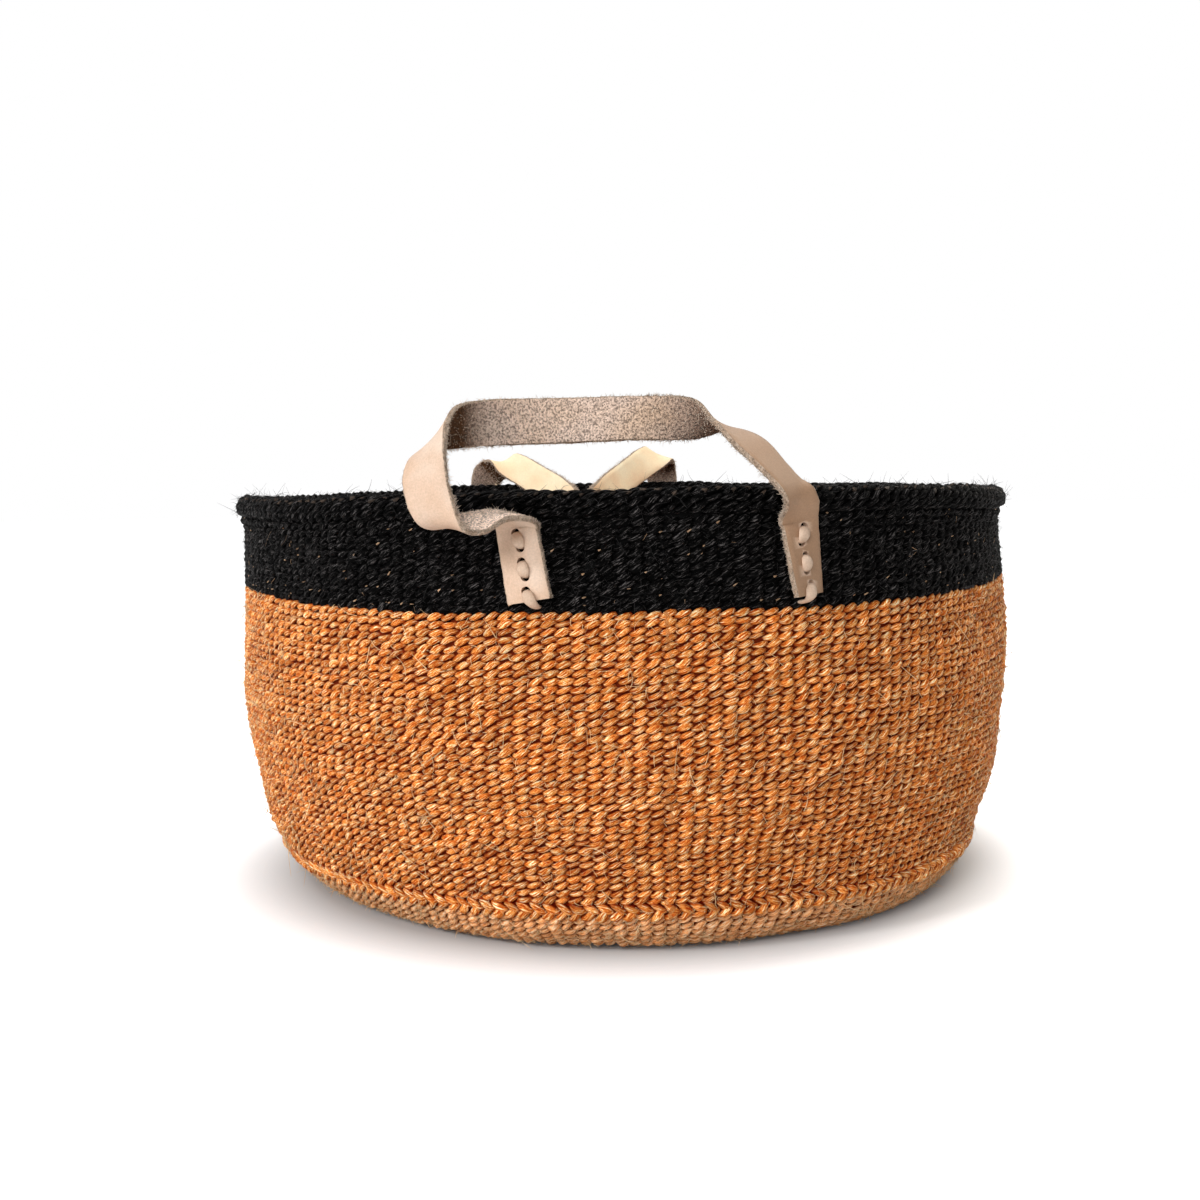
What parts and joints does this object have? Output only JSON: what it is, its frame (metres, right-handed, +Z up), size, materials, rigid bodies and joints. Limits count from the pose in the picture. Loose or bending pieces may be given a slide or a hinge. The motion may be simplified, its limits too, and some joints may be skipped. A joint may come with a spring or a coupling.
{
  "type": "floor basket",
  "caption": "Round twined floor basket with a dark upper band, a thick rolled rim and laced leather strap handles, for storing blankets, toys or laundry.",
  "frame": {"origin": "centre of the base on the floor", "axes": "+Z up along the basket's axis, -Y towards the front handle, +X to the right as seen from the front"},
  "size_m": [0.5, 0.5264, 0.2974],
  "materials": {
    "sisal_tan": "twined natural fibre, rust-tan dye, dull with pale stray fibres",
    "sisal_black": "twined natural fibre dyed black, dull",
    "leather": "undyed vegetable-tanned leather, smooth face and rough back"
  },
  "bodies": {
    "basket": {"base_weave": "sisal_tan", "heel_course": "sisal_tan", "tan_wall": "sisal_tan", "black_band": "sisal_black", "rim_core": "sisal_black", "rim_binding": "sisal_black", "front_left_tab": "leather", "front_right_tab": "leather", "front_left_lace": "leather", "front_right_lace": "leather", "rear_left_tab": "leather", "rear_right_tab": "leather", "rear_left_lace": "leather", "rear_right_lace": "leather"},
    "front_handle": {"front_handle_loop": "leather"},
    "rear_handle": {"rear_handle_loop": "leather"}
  },
  "joints": [
    {"name": "front_handle_swing", "type": "hinge", "parent": "basket", "child": "front_handle", "pos_m": [0, -0.2423, 0.2316], "axis": [1, 0, 0], "range_deg": [0, 90]},
    {"name": "rear_handle_swing", "type": "hinge", "parent": "basket", "child": "rear_handle", "pos_m": [-0.01374, 0.24582, 0.2548], "axis": [-0.9984, -0.0558, 0], "range_deg": [0, 120]}
  ]
}
